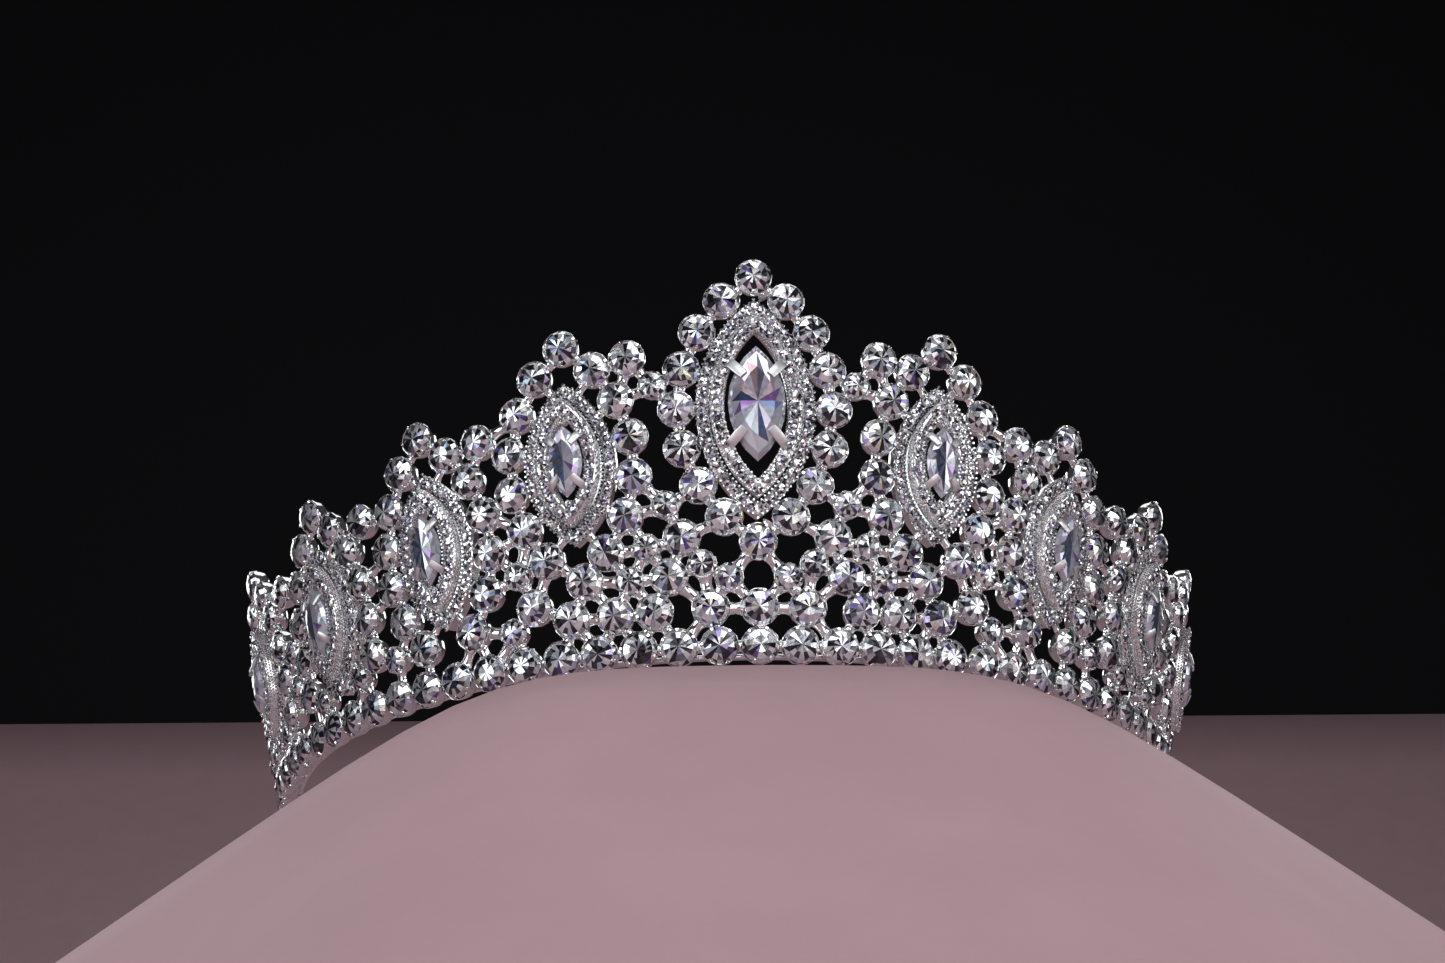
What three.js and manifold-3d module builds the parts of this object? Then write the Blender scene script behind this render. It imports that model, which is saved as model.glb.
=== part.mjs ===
// Bridal tiara: an openwork band of set stones on a flared wall, open at the back of the head.
//
// Millimetres, +Z up. The front faces -Y. "left" and "right" are as seen from the front.
// The wall is part of a cone that stands on a base circle and leans outward. A place on it is
// (u, v): u runs round the base circle from the front centre, v runs up the slope, and w is the
// height above the wall, outward. Local shapes are drawn flat in (x, y, w) and wrapped on.

import * as THREE from "three";
import { mergeVertices } from "three/addons/utils/BufferGeometryUtils.js";
import Module from "manifold-3d";

const wasm = await Module();
wasm.setup();

// The wall
const BASE_RADIUS = 72.5;
const FLARE = THREE.MathUtils.degToRad(14);
const CENTRE_SHIFT_Y = 29.17; // moves the base circle so that the origin is under the middle of the tiara

// Stones and their cups; w = 0 is the girdle of the round stones
const LARGE = 5.0;
const SMALL = 3.8;
const CUP_SIDES = 6;
const CUP_BACK = -2.6;
const CAST_FRONT = 0.65;
const SEAT_RIM = -0.85; // rim of a cup whose stone is a part of its own
const SEAT_TOP = -0.5; // top of the cut that clears such a stone
const SEAT_GAP = 0.4; // between that stone and its seat, along the stone's axis
const STONE_TABLE = 1.0;
const STONE_CULET = -1.9;
const STONE_GIRDLE = [-0.1, 0.1];
const TABLE_SHARE = 0.55; // of a stone's width
const KEEL_SHARE = 0.12;
const CRYSTAL_GIRDLE = 0.3; // height of a crystal's girdle
const CRYSTAL_STEPS = 4; // steps along each side of a crystal
const GAP = 0.3; // left between parts that touch
const LINK_WIDTH = 1.2;

// The base row and the rail behind it
const BASE_PITCH = 5.4;
const BASE_HEIGHT = 2.75;
const ROW_TWO = 7.9;
const FRONT_LAST = 7; // numbers of the last base stones of the front, side and end sections
const SIDE_LAST = 18;
const END_LAST = 24;
const RAIL_INNER = 69.5;
const RAIL_OUTER = 71.1;
const RAIL_HEIGHT = 3.0;

// The pointed oval bands of the motifs
const TIE = 3.4; // length of the ties that join a band to the ring round it
const TIES = 4;
const HALO_BACK = -0.9;
const HALO_FRONT = 1.7;
const OVAL_STEPS = 6; // steps along each side of an oval
const PRONG = 0.8;
const PRONG_TOP = 2.7;
const PRONG_FOOT = 0.4;
const PRONG_AT = 0.6; // place of the prongs along the side of the halo

// across and up are half sizes of pointed ovals
const CENTRE = {
  ring: { across: 11.0, up: 18.9, slots: 16 },
  band: { across: 8.3, up: 15.6, width: 1.7 },
  halo: { across: 6.2, up: 12.9, width: 1.65 },
  crystal: { across: 4.0, up: 8.2, girdle: 1.7, table: 3.1, keel: -0.9 },
};
const SIDE = {
  ring: { across: 9.1, up: 16.8, slots: 14 },
  band: { across: 6.5, up: 11.5, width: 1.6 },
  halo: { across: 4.5, up: 9.0, width: 1.8 },
  crystal: { across: 2.5, up: 5.1, girdle: 1.7, table: 2.7, keel: -0.6 },
};

// Motifs from the centre outward. lean tips the top away from the front centre, in degrees.
// A low motif has straight legs that come down to the base row, with a small stone inside each.
const MOTIFS = [
  { at: [0, 35.8], style: CENTRE, lean: 0, low: false },
  { at: [23.8, 29.6], style: SIDE, lean: 0, low: false, valley: [15.6, 43.7] },
  { at: [44.5, 21.7], style: SIDE, lean: 2.5, low: false, valley: [36.2, 35.4] },
  { at: [67.2, 18.3], style: SIDE, lean: 2, low: true, valley: [57.0, 30.1] },
  { at: [92.8, 18.0], style: SIDE, lean: 0, low: true, valley: [80.0, 28.0] },
];
const LEG_STEP = 5.6;
const LEG_SMALL = [5.2, -10.7];

// Stones of the lattice between the motifs, one list per bay from the centre outward
const BAYS = [
  [
    [6.4, ROW_TWO, LARGE], [13.8, 7.7, LARGE], [19.1, 7.7, LARGE],
    [3.9, 12.0, SMALL], [7.3, 14.0, SMALL], [11.7, 12.4, LARGE], [16.9, 12.3, SMALL],
    [22.9, 12.9, LARGE], [9.8, 17.7, LARGE], [14.4, 16.6, SMALL], [11.7, 22.4, SMALL],
  ],
  [
    [25.1, ROW_TWO, LARGE], [30.2, 10.4, LARGE], [33.5, 7.5, SMALL], [32.2, 15.2, SMALL],
  ],
  [
    [53.6, 8.3, SMALL],
  ],
  [
    [79.95, 12.2, SMALL], [79.95, 17.8, SMALL],
  ],
];
const CENTRE_LINK = [12.7, 39.5, SMALL]; // joins the centre motif to the first crest stones
const END_STONES = [
  [107.6, 8.3, LARGE], [113.2, 8.0, LARGE], [118.2, 7.3, SMALL],
  [107.4, 13.9, LARGE], [112.6, 13.2, SMALL], [106.3, 19.1, SMALL],
];
const LINK_REACH = 1.85; // cups of one part that are closer than this, rim to rim, are linked
const ARM_ENDS = [[51.3, 8.4], [55.4, 9.0]]; // arms of the third bay, which has one stone

const LOOP_SIDES = 8;
const LOOP = { at: [138.0, 5.25], inner: 3.8, outer: 5.1, back: -2.2, front: -0.8 };

const SILVER = { color: 0xd9d7d8, roughness: 0.18, metalness: 1.0 };
const PAVE = { color: 0xc9c6c8, roughness: 0.3, metalness: 0.9 };
const CLEAR = { color: 0xc3bfd2, roughness: 0.05, metalness: 0.2 };
const RHINESTONE = { color: 0xb9bcc6, roughness: 0.08, metalness: 0.3 };

// ---- the wall -------------------------------------------------------------------------------

function wallPoint(u, v, w) {
  const angle = u / BASE_RADIUS;
  const radius = BASE_RADIUS + v * Math.sin(FLARE) + w * Math.cos(FLARE);
  const height = v * Math.cos(FLARE) - w * Math.sin(FLARE);
  return new THREE.Vector3(radius * Math.sin(angle), -radius * Math.cos(angle), height);
}

function outward(u) {
  const angle = u / BASE_RADIUS;
  const level = Math.cos(FLARE);
  return new THREE.Vector3(level * Math.sin(angle), -level * Math.cos(angle), -Math.sin(FLARE));
}

// How much longer the wall is, level, at height v than at its base
function spread(v) {
  return 1 + (v * Math.sin(FLARE)) / BASE_RADIUS;
}

// Axes of a flat piece laid on the wall: x to the right, y up the slope, z outward
function wallFrame(u, v) {
  const angle = u / BASE_RADIUS;
  const right = new THREE.Vector3(Math.cos(angle), Math.sin(angle), 0);
  const out = outward(u);
  const up = out.clone().cross(right);
  return new THREE.Matrix4().makeBasis(right, up, out).setPosition(wallPoint(u, v, 0));
}

// ---- solids ---------------------------------------------------------------------------------

function solidOf(geometry) {
  const bare = geometry.clone();
  bare.deleteAttribute("normal");
  bare.deleteAttribute("uv");
  const merged = mergeVertices(bare, 1e-4);
  const mesh = new wasm.Mesh({
    numProp: 3,
    vertProperties: new Float32Array(merged.attributes.position.array),
    triVerts: new Uint32Array(merged.index.array),
  });
  return new wasm.Manifold(mesh);
}

function geometryOf(solid) {
  const { vertProperties, triVerts, numProp } = solid.getMesh();
  const positions = new Float32Array((vertProperties.length / numProp) * 3);
  for (let i = 0; i < positions.length / 3; i++) {
    for (let k = 0; k < 3; k++) positions[3 * i + k] = vertProperties[numProp * i + k];
  }
  const geometry = new THREE.BufferGeometry();
  geometry.setAttribute("position", new THREE.BufferAttribute(positions, 3));
  geometry.setIndex(new THREE.BufferAttribute(new Uint32Array(triVerts), 1));
  geometry.computeVertexNormals();
  return geometry;
}

function joinAll(solids) {
  return solids.reduce((whole, next) => whole.add(next));
}

// A closed shape turned about the w axis from [radius, w] points that start and end on it
function turned(profile, sides = CUP_SIDES) {
  const points = profile.map(([radius, w]) => new THREE.Vector2(radius, w));
  const geometry = new THREE.LatheGeometry(points, sides);
  geometry.rotateY(Math.PI / sides);
  return geometry.rotateX(Math.PI / 2);
}

function prism(radius, back, front) {
  return turned([[0, back], [radius, back], [radius, front], [0, front]]);
}

function cupShape(size, rim) {
  return prism(size / 2, CUP_BACK, rim);
}

function roundStone([u, v, size]) {
  const radius = size / 2;
  const [low, high] = STONE_GIRDLE;
  const shape = turned([[0, STONE_CULET], [radius, low], [radius, high],
    [radius * TABLE_SHARE, STONE_TABLE], [0, STONE_TABLE]]);
  return solidOf(shape.applyMatrix4(wallFrame(u, v)));
}

// ---- castings, drawn flat on a sheet and wrapped on the wall ----------------------------------

// A sheet lies on the wall with its own origin at [u, v] = at, and may lean
function sheetAt(at, lean = 0) {
  return { at, lean: THREE.MathUtils.degToRad(lean) };
}

function onWall({ at, lean }, x, y) {
  const across = x * Math.cos(lean) + y * Math.sin(lean);
  const v = at[1] - x * Math.sin(lean) + y * Math.cos(lean);
  return [at[0] + across / spread(v), v];
}

function onSheet({ at, lean }, [u, v]) {
  const across = (u - at[0]) * spread(v);
  const rise = v - at[1];
  return [across * Math.cos(lean) - rise * Math.sin(lean), across * Math.sin(lean) + rise * Math.cos(lean)];
}

function wrapped(solid, sheet) {
  const { vertProperties, triVerts, numProp } = solid.getMesh();
  const places = new Float32Array(vertProperties);
  for (let i = 0; i < places.length; i += numProp) {
    const [u, v] = onWall(sheet, places[i], places[i + 1]);
    wallPoint(u, v, places[i + 2]).toArray(places, i);
  }
  return new wasm.Manifold(new wasm.Mesh({ numProp, vertProperties: places, triVerts }));
}

function flatCup([x, y, size]) {
  return solidOf(cupShape(size, CAST_FRONT).translate(x, y, 0));
}

function flatLink([ax, ay], [bx, by]) {
  const length = Math.hypot(bx - ax, by - ay);
  const bar = new THREE.BoxGeometry(length, LINK_WIDTH, CAST_FRONT - CUP_BACK);
  bar.rotateZ(Math.atan2(by - ay, bx - ax));
  return solidOf(bar.translate((ax + bx) / 2, (ay + by) / 2, (CAST_FRONT + CUP_BACK) / 2));
}

// The cut that clears a stone that is a part of its own, and its seat
function flatSeat([x, y, size]) {
  const slope = size / 2 / (STONE_GIRDLE[0] - STONE_CULET);
  const foot = STONE_CULET - SEAT_GAP;
  const seat = turned([[0, foot], [(SEAT_TOP - foot) * slope, SEAT_TOP], [0, SEAT_TOP]]);
  const clear = prism(size / 2 + GAP, SEAT_RIM, STONE_TABLE);
  return solidOf(seat.translate(x, y, 0)).add(solidOf(clear.translate(x, y, 0)));
}

// The fewest bars that tie neighbouring cups together
function flatLinks(stones) {
  const group = stones.map((stone, i) => i);
  const pairs = stones.flatMap((a, i) => stones.slice(i + 1).map((b, j) => [i, i + 1 + j]));
  const space = ([i, j]) => {
    const [a, b] = [stones[i], stones[j]];
    return Math.hypot(a[0] - b[0], a[1] - b[1]) - (a[2] + b[2]) / 2;
  };
  const near = pairs.filter((pair) => space(pair) < LINK_REACH).sort((p, q) => space(p) - space(q));
  const links = [];
  for (const [i, j] of near) {
    if (group[i] === group[j]) continue;
    links.push(flatLink(stones[i], stones[j]));
    const old = group[j];
    group.forEach((name, k) => {
      if (name === old) group[k] = group[i];
    });
  }
  return links;
}

// ---- pointed ovals --------------------------------------------------------------------------

// Two equal arcs that meet in points at the top and bottom; radius and centre offset of the arcs
function arcsOf({ across, up }) {
  const radius = (across * across + up * up) / (2 * across);
  return { radius, offset: radius - across, reach: Math.asin(up / radius) };
}

// Points of the oval that lies inset inside the given one, anticlockwise from the bottom
function ovalPoints(oval, inset, steps) {
  const { radius, offset } = arcsOf(oval);
  const inner = radius - inset;
  const reach = Math.acos(offset / inner);
  const points = [];
  for (const side of [1, -1]) {
    for (let i = 0; i < steps; i++) {
      const angle = reach * (-1 + (2 * i) / steps) * side;
      points.push(new THREE.Vector2(side * (inner * Math.cos(angle) - offset), inner * Math.sin(angle)));
    }
  }
  return points;
}

// Places of the ring stones, evenly spaced along the oval from its top, as local [x, y]
function ringPlaces({ style, low }) {
  const { radius, offset, reach } = arcsOf(style.ring);
  const step = (4 * reach) / style.ring.slots;
  const places = [[0, style.ring.up]];
  for (let k = 1; k < style.ring.slots / 2; k++) {
    const angle = reach - k * step;
    const leg = low && angle < 0;
    const half = leg ? style.ring.across : radius * Math.cos(angle) - offset;
    const y = leg ? (0.5 - (k - (style.ring.slots - 2) / 4)) * LEG_STEP : radius * Math.sin(angle);
    if (low && k === style.ring.slots / 2 - 1) continue;
    places.push([half, y], [-half, y]);
  }
  if (style === CENTRE) places.push([0, -style.ring.up]);
  return places;
}

// How far a local place lies outside the band
function outsideBand({ band }, [x, y]) {
  const { radius, offset } = arcsOf(band);
  return Math.hypot(Math.abs(x) + offset, y) - radius;
}

// A closed band between two pointed ovals, flat
function ovalBand(oval, back, front) {
  const shape = new THREE.Shape(ovalPoints(oval, 0, OVAL_STEPS));
  shape.holes.push(new THREE.Path(ovalPoints(oval, oval.width, OVAL_STEPS).reverse()));
  const geometry = new THREE.ExtrudeGeometry(shape, { depth: front - back, bevelEnabled: false });
  return solidOf(geometry.translate(0, 0, back));
}

// ---- the motifs -----------------------------------------------------------------------------

function sheetOf(motif, side) {
  return sheetAt([side * motif.at[0], motif.at[1]], side * motif.lean);
}

function ringStones(motif) {
  const stones = ringPlaces(motif).map(([x, y]) => [x, y, LARGE]);
  if (motif.low) {
    const [x, y] = LEG_SMALL;
    stones.push([x, y, SMALL], [-x, y, SMALL]);
  }
  return stones;
}

// Bars from the ring's nearest cups in to the band
function tiesToBand(motif) {
  const places = ringPlaces(motif);
  places.sort((a, b) => outsideBand(motif.style, a) - outsideBand(motif.style, b));
  return places.slice(0, TIES).map(([x, y]) => {
    const inward = 1 - TIE / Math.hypot(x, y);
    return flatLink([x, y], [x * inward, y * inward]);
  });
}

// The ring of cups, the pavé band inside it, and the cup of the crest stone next to it
function frame(motif, side) {
  const sheet = sheetOf(motif, side);
  const stones = ringStones(motif);
  const open = [stones[0]];
  const bars = tiesToBand(motif);
  if (motif.valley) {
    const crest = [...onSheet(sheet, mirrored([motif.valley], side)[0]), LARGE];
    const gap = (stone) => Math.hypot(stone[0] - crest[0], stone[1] - crest[1]);
    bars.push(flatLink(stones.reduce((best, stone) => (gap(stone) < gap(best) ? stone : best)), crest));
    stones.push(crest);
    open.push(crest);
  } else {
    for (const [u, v, size] of [CENTRE_LINK, ...mirrored([CENTRE_LINK], -1)]) {
      stones.push([...onSheet(sheet, [u, v]), size]);
    }
  }
  bars.push(...flatLinks(stones));
  const solid = joinAll([ovalBand(motif.style.band, CUP_BACK, CAST_FRONT), ...stones.map(flatCup), ...bars]);
  const cut = open.map(flatSeat).reduce((whole, seat) => whole.subtract(seat), solid);
  return wrapped(cut, sheet);
}

// The raised pavé setting round a crystal, with a prong at each shoulder
function halo(motif, side) {
  const { style } = motif;
  const { radius, offset, reach } = arcsOf(style.halo);
  const solids = [ovalBand(style.halo, HALO_BACK, HALO_FRONT)];
  for (const [sx, sy] of [[1, 1], [-1, 1], [1, -1], [-1, -1]]) {
    const angle = reach * PRONG_AT;
    const seat = radius - style.halo.width;
    const post = new THREE.BoxGeometry(PRONG, PRONG, PRONG_TOP - PRONG_FOOT);
    post.translate(sx * (seat * Math.cos(angle) - offset), sy * seat * Math.sin(angle),
      (PRONG_TOP + PRONG_FOOT) / 2);
    solids.push(solidOf(post));
  }
  return wrapped(joinAll(solids), sheetOf(motif, side));
}

// A marquise crystal: flat table, sloped crown, and a pavilion that closes on a keel
function crystal(motif, side) {
  const { across, up, girdle, table, keel } = motif.style.crystal;
  const outline = (scale) => ovalPoints({ across: across * scale, up: up * scale }, 0, CRYSTAL_STEPS);
  const belt = CRYSTAL_GIRDLE / 2;
  const levels = [[KEEL_SHARE, keel], [1, girdle - belt], [1, girdle + belt], [TABLE_SHARE, table]];
  const points = levels.flatMap(([scale, w]) => outline(scale).map((p) => [p.x, p.y, w]));
  const count = outline(1).length;
  const faces = [];
  for (let level = 0; level < levels.length - 1; level++) {
    for (let i = 0; i < count; i++) {
      const a = level * count + i;
      const b = level * count + ((i + 1) % count);
      faces.push(a, b, b + count, a, b + count, a + count);
    }
  }
  const top = (levels.length - 1) * count;
  for (let i = 1; i < count - 1; i++) {
    faces.push(0, i + 1, i);
    faces.push(top, top + i, top + i + 1);
  }
  const geometry = new THREE.BufferGeometry();
  geometry.setAttribute("position", new THREE.Float32BufferAttribute(points.flat(), 3));
  geometry.setIndex(faces);
  const lean = new THREE.Matrix4().makeRotationZ(-THREE.MathUtils.degToRad(motif.lean) * side);
  return solidOf(geometry.applyMatrix4(wallFrame(side * motif.at[0], motif.at[1]).multiply(lean)));
}

// ---- the base and the lattice ---------------------------------------------------------------

function railPiece(from, to) {
  const start = from / BASE_RADIUS - Math.PI / 2;
  const end = to / BASE_RADIUS - Math.PI / 2;
  const shape = new THREE.Shape();
  shape.absarc(0, 0, RAIL_OUTER, start, end, false);
  shape.absarc(0, 0, RAIL_INNER, end, start, true);
  const geometry = new THREE.ExtrudeGeometry(shape, {
    depth: RAIL_HEIGHT, bevelEnabled: false, curveSegments: Math.ceil((to - from) / (2 * BASE_PITCH)),
  });
  return solidOf(geometry);
}

function mirrored(places, side) {
  return places.map(([u, ...rest]) => [side * u, ...rest]);
}

// A casting of cups given as [u, v, size], tied together by the fewest bars
function cast(places, arms = []) {
  const sheet = sheetAt([places[0][0], places[0][1]]);
  const stones = places.map(([u, v, size]) => [...onSheet(sheet, [u, v]), size]);
  const bars = arms.map((place) => flatLink(stones[0], onSheet(sheet, place)));
  return wrapped(joinAll([...stones.map(flatCup), ...flatLinks(stones), ...bars]), sheet);
}

// Base stones number first to last, on their stretch of rail, with any stones above them
function baseRow(first, last, side, above = []) {
  const solids = [];
  for (let k = first; k <= last; k++) {
    const place = wallFrame(side * k * BASE_PITCH, BASE_HEIGHT);
    solids.push(solidOf(cupShape(LARGE, CAST_FRONT).applyMatrix4(place)));
  }
  if (above.length > 0) {
    const below = Math.round(above[0][0] / BASE_PITCH) * BASE_PITCH;
    solids.push(cast([...above, [below, BASE_HEIGHT, SMALL]]));
  }
  const ends = [(first - 0.5) * BASE_PITCH * side, (last + 0.5) * BASE_PITCH * side];
  solids.push(railPiece(Math.min(...ends) + GAP / 2, Math.max(...ends) - GAP / 2));
  return joinAll(solids);
}

function lattice(bay, side) {
  const stones = mirrored(BAYS[bay], side);
  return cast(stones, stones.length === 1 ? mirrored(ARM_ENDS, side) : []);
}

function endLoop(side) {
  const shape = new THREE.Shape().absarc(0, 0, LOOP.outer, 0, 2 * Math.PI);
  shape.holes.push(new THREE.Path().absarc(0, 0, LOOP.inner, 0, 2 * Math.PI, true));
  const geometry = new THREE.ExtrudeGeometry(shape, {
    depth: LOOP.front - LOOP.back, bevelEnabled: false, curveSegments: LOOP_SIDES,
  });
  geometry.translate(0, 0, LOOP.back);
  return solidOf(geometry.applyMatrix4(wallFrame(side * LOOP.at[0], LOOP.at[1])));
}

// ---- the tiara ------------------------------------------------------------------------------

const tiara = new THREE.Group();
tiara.position.set(0, CENTRE_SHIFT_Y, 0);

function addPart(name, solid, look) {
  const mesh = new THREE.Mesh(geometryOf(solid), new THREE.MeshStandardMaterial(look));
  mesh.name = name;
  tiara.add(mesh);
}

function addMotif(motif, side, name) {
  addPart(`frame_${name}`, frame(motif, side), PAVE);
  addPart(`halo_${name}`, halo(motif, side), PAVE);
  addPart(`crystal_${name}`, crystal(motif, side), CLEAR);
  const tip = onWall(sheetOf(motif, side), 0, motif.style.ring.up);
  addPart(`tip_stone_${name}`, roundStone([...tip, LARGE]), RHINESTONE);
  if (motif.valley) {
    const [crest] = mirrored([motif.valley], side);
    addPart(`valley_stone_${name}`, roundStone([...crest, LARGE]), RHINESTONE);
  }
}

addMotif(MOTIFS[0], 1, "centre");
addPart("base_row_front", baseRow(-FRONT_LAST, FRONT_LAST, 1, [[0, ROW_TWO, LARGE]]), SILVER);
for (const [word, side] of [["left", -1], ["right", 1]]) {
  MOTIFS.slice(1).forEach((motif, i) => addMotif(motif, side, `${word}_${i + 1}`));
  BAYS.forEach((stones, bay) => addPart(`lattice_${word}_${bay + 1}`, lattice(bay, side), SILVER));
  addPart(`base_row_${word}`, baseRow(FRONT_LAST + 1, SIDE_LAST, side), SILVER);
  addPart(`end_section_${word}`, baseRow(SIDE_LAST + 1, END_LAST, side, mirrored(END_STONES, side)), SILVER);
  addPart(`end_loop_${word}`, endLoop(side), SILVER);
}

export default tiara;
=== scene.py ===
"""Bridal tiara: silver castings, brilliant-cut rhinestones, pavé bands and marquise crystals.

A place on the flared wall is (u, v, w): u runs round the base circle from the front centre, v up
the slope and w outward. These are in millimetres, and MM turns them into Blender's metres.
"""

import math
import random

import bpy
from mathutils import Matrix, Vector


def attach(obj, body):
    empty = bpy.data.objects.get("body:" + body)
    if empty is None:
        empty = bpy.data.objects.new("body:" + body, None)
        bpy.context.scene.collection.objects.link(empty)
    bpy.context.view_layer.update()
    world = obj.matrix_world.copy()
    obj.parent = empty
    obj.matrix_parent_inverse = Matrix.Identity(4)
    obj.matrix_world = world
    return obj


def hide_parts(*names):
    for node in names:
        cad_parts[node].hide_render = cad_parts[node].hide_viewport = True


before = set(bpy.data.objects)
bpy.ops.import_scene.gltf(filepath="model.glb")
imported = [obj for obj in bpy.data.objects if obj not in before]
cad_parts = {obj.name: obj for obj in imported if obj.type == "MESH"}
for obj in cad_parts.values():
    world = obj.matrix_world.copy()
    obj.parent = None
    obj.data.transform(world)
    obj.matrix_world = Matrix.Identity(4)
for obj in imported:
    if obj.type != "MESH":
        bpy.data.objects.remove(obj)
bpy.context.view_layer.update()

MM = 0.001
SEED = 11
BODY = "root"

# ---- driving dimensions, the same as the CAD model's ------------------------------------------

BASE_RADIUS = 72.5
FLARE = math.radians(14)
CENTRE_SHIFT_Y = 29.17
LARGE = 5.0
SMALL = 3.8
BASE_PITCH = 5.4
BASE_HEIGHT = 2.75
ROW_TWO = 7.9
FRONT_LAST, SIDE_LAST, END_LAST = 7, 18, 24
RAIL_INNER, RAIL_OUTER = 69.5, 71.1
RAIL_WIRE, RAIL_LEVEL = 0.9, 2.1
GAP = 0.3
LEG_STEP = 5.6
LEG_SMALL = (5.2, -10.7)
LOOP_AT, LOOP_RADIUS, LOOP_WIRE, LOOP_MIDDLE = (138.0, 5.25), 4.45, 0.64, -1.5

# Pointed ovals are given as (half across, half up)
CENTRE = {
    "ring": (11.0, 18.9), "slots": 16,
    "band": (8.3, 15.6), "band_width": 1.7,
    "halo": (6.2, 12.9), "halo_width": 1.65,
    "crystal": (4.0, 8.2), "girdle": 1.7, "table": 3.1, "keel": -0.9,
    "pitch": 1.55, "prong_at": 0.48, "prong_width": 1.35, "prong_reach": 3.0,
}
SIDE = {
    "ring": (9.1, 16.8), "slots": 14,
    "band": (6.5, 11.5), "band_width": 1.6,
    "halo": (4.5, 9.0), "halo_width": 1.8,
    "crystal": (2.5, 5.1), "girdle": 1.7, "table": 2.7, "keel": -0.6,
    "pitch": 1.35, "prong_at": 0.48, "prong_width": 1.0, "prong_reach": 2.0,
}
# A motif leans by degrees, and a low one has straight legs. Its valley stone is on its front side.
MOTIFS = [
    {"at": (0, 35.8), "style": CENTRE, "lean": 0, "low": False, "valley": None},
    {"at": (23.8, 29.6), "style": SIDE, "lean": 0, "low": False, "valley": (15.6, 43.7)},
    {"at": (44.5, 21.7), "style": SIDE, "lean": 2.5, "low": False, "valley": (36.2, 35.4)},
    {"at": (67.2, 18.3), "style": SIDE, "lean": 2, "low": True, "valley": (57.0, 30.1)},
    {"at": (92.8, 18.0), "style": SIDE, "lean": 0, "low": True, "valley": (80.0, 28.0)},
]
# Cups are (u, v, size) on the right-hand side, and the left is its mirror image
BAYS = [
    [
        (6.4, ROW_TWO, LARGE), (13.8, 7.7, LARGE), (19.1, 7.7, LARGE),
        (3.9, 12.0, SMALL), (7.3, 14.0, SMALL), (11.7, 12.4, LARGE), (16.9, 12.3, SMALL),
        (22.9, 12.9, LARGE), (9.8, 17.7, LARGE), (14.4, 16.6, SMALL), (11.7, 22.4, SMALL),
    ],
    [(25.1, ROW_TWO, LARGE), (30.2, 10.4, LARGE), (33.5, 7.5, SMALL), (32.2, 15.2, SMALL)],
    [(53.6, 8.3, SMALL)],
    [(79.95, 12.2, SMALL), (79.95, 17.8, SMALL)],
]
CENTRE_LINK = (12.7, 39.5, SMALL)
END_STONES = [
    (107.6, 8.3, LARGE), (113.2, 8.0, LARGE), (118.2, 7.3, SMALL),
    (107.4, 13.9, LARGE), (112.6, 13.2, SMALL), (106.3, 19.1, SMALL),
]

# ---- details and looks -------------------------------------------------------------------------

# Cups and bars, in millimetres
CUP_SWELL = 1.065  # the cups fill the clearance that the CAD model leaves round them
CUP_SIDES = 16
CUP_PROFILE = [  # share of the cup's radius, w
    (0, -2.55), (0.45, -2.5), (0.72, -2.25), (0.9, -1.7), (0.97, -0.9), (0.995, -0.2),
    (0.995, 0.02), (0.975, 0.1), (0.95, 0.06), (0.935, -0.25), (0.5, -1.35), (0, -2.1),
]
CUP_CLAWS = 6
CLAW_PATH = [  # share of the cup's radius, w, half width
    (0.985, -0.6, 0.30), (1.0, 0.05, 0.30), (0.965, 0.36, 0.26), (0.86, 0.46, 0.18),
]
CLAW_SECTION = [(-1, -0.4), (-0.7, 1), (0.7, 1), (1, -0.4)]  # half widths across, thicknesses out
CLAW_THICK = 0.11
LINK_REACH = 2.15  # cups closer than this, rim to rim, are joined
LINK_CLEAR = 0.3  # unless a third cup is this near the middle of the bar
LINK_LEVEL = -0.95
LINK_START = 0.30  # share of a cup's size from its middle to the end of a bar
LINK_BAR = (1.5, 0.78)  # half widths at the ends and at the waist
LINK_FLATNESS = 0.6
LINK_STEPS, LINK_SIDES = 6, 8
TIE_REACH = 3.9  # cups with their middle closer to the band than this are tied to it
TIE_START, TIE_SINK = 1.6, 0.5  # how far from the cup's middle a tie starts, how far in the band it ends
TIE_BAR = (1.0, 0.6)
LOOP_BAR = (0.9, 0.6)
LOOP_NECK_ROOT = (1.5, 0.4)  # past the middle of the last cup, and above it
LOOP_NECK_END = (0.94, 0.33)  # shares of the loop's radius, back and down from its middle

# Bands, halos and their beads, in millimetres
BAND_BACK, BAND_TOP = -2.2, 0.05
HALO_BACK, HALO_TOP = -0.9, 1.65
BAND_CROWN = [(0.0, 0.45), (0.1, 0.2), (0.3, 0.15), (0.7, 0.15), (0.9, 0.2), (1.0, 0.45)]  # share, depth
BAND_STEPS = 28
PAVE_SHARE = 0.53  # a pavé stone's radius as a share of its place
BEAD_SIZES = (0.19, 0.27)
BEAD_SIDES = 6
BEAD_LEVELS = [(0.55, -0.8), (1.0, 0.0), (0.62, 0.72)]  # shares of its radius: ring, height
PLUG_RADIUS, PLUG_BACK = 0.62, 0.3
PLUG_SHOULDER, PLUG_CROWN = 0.3, 0.2  # depth below the halo's top at its edge and in its middle
PLUG_SIDES, PLUG_BEADS, PLUG_BEAD = 10, 5, 0.2
PLUG_STONE = (0.7, 0.1)  # share of the plug's radius, depth below the halo's top
PLUG_GRAIN = (0.85, 0.12)
PRONG_ROOT, PRONG_AIM = 0.5, 1.0  # distances out and in from the halo's inner edge
PRONG_THICK, PRONG_TAPER = 0.15, 0.85
PRONG_SECTION = [(-1, -1), (-1, 0.5), (-0.75, 1), (0.75, 1), (1, 0.5), (1, -1)]  # as a claw's
WIRE_SIDES = 12
RAIL_TURN = 0.04  # radians between rings of the rail
LOOP_STEPS = 40
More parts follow.
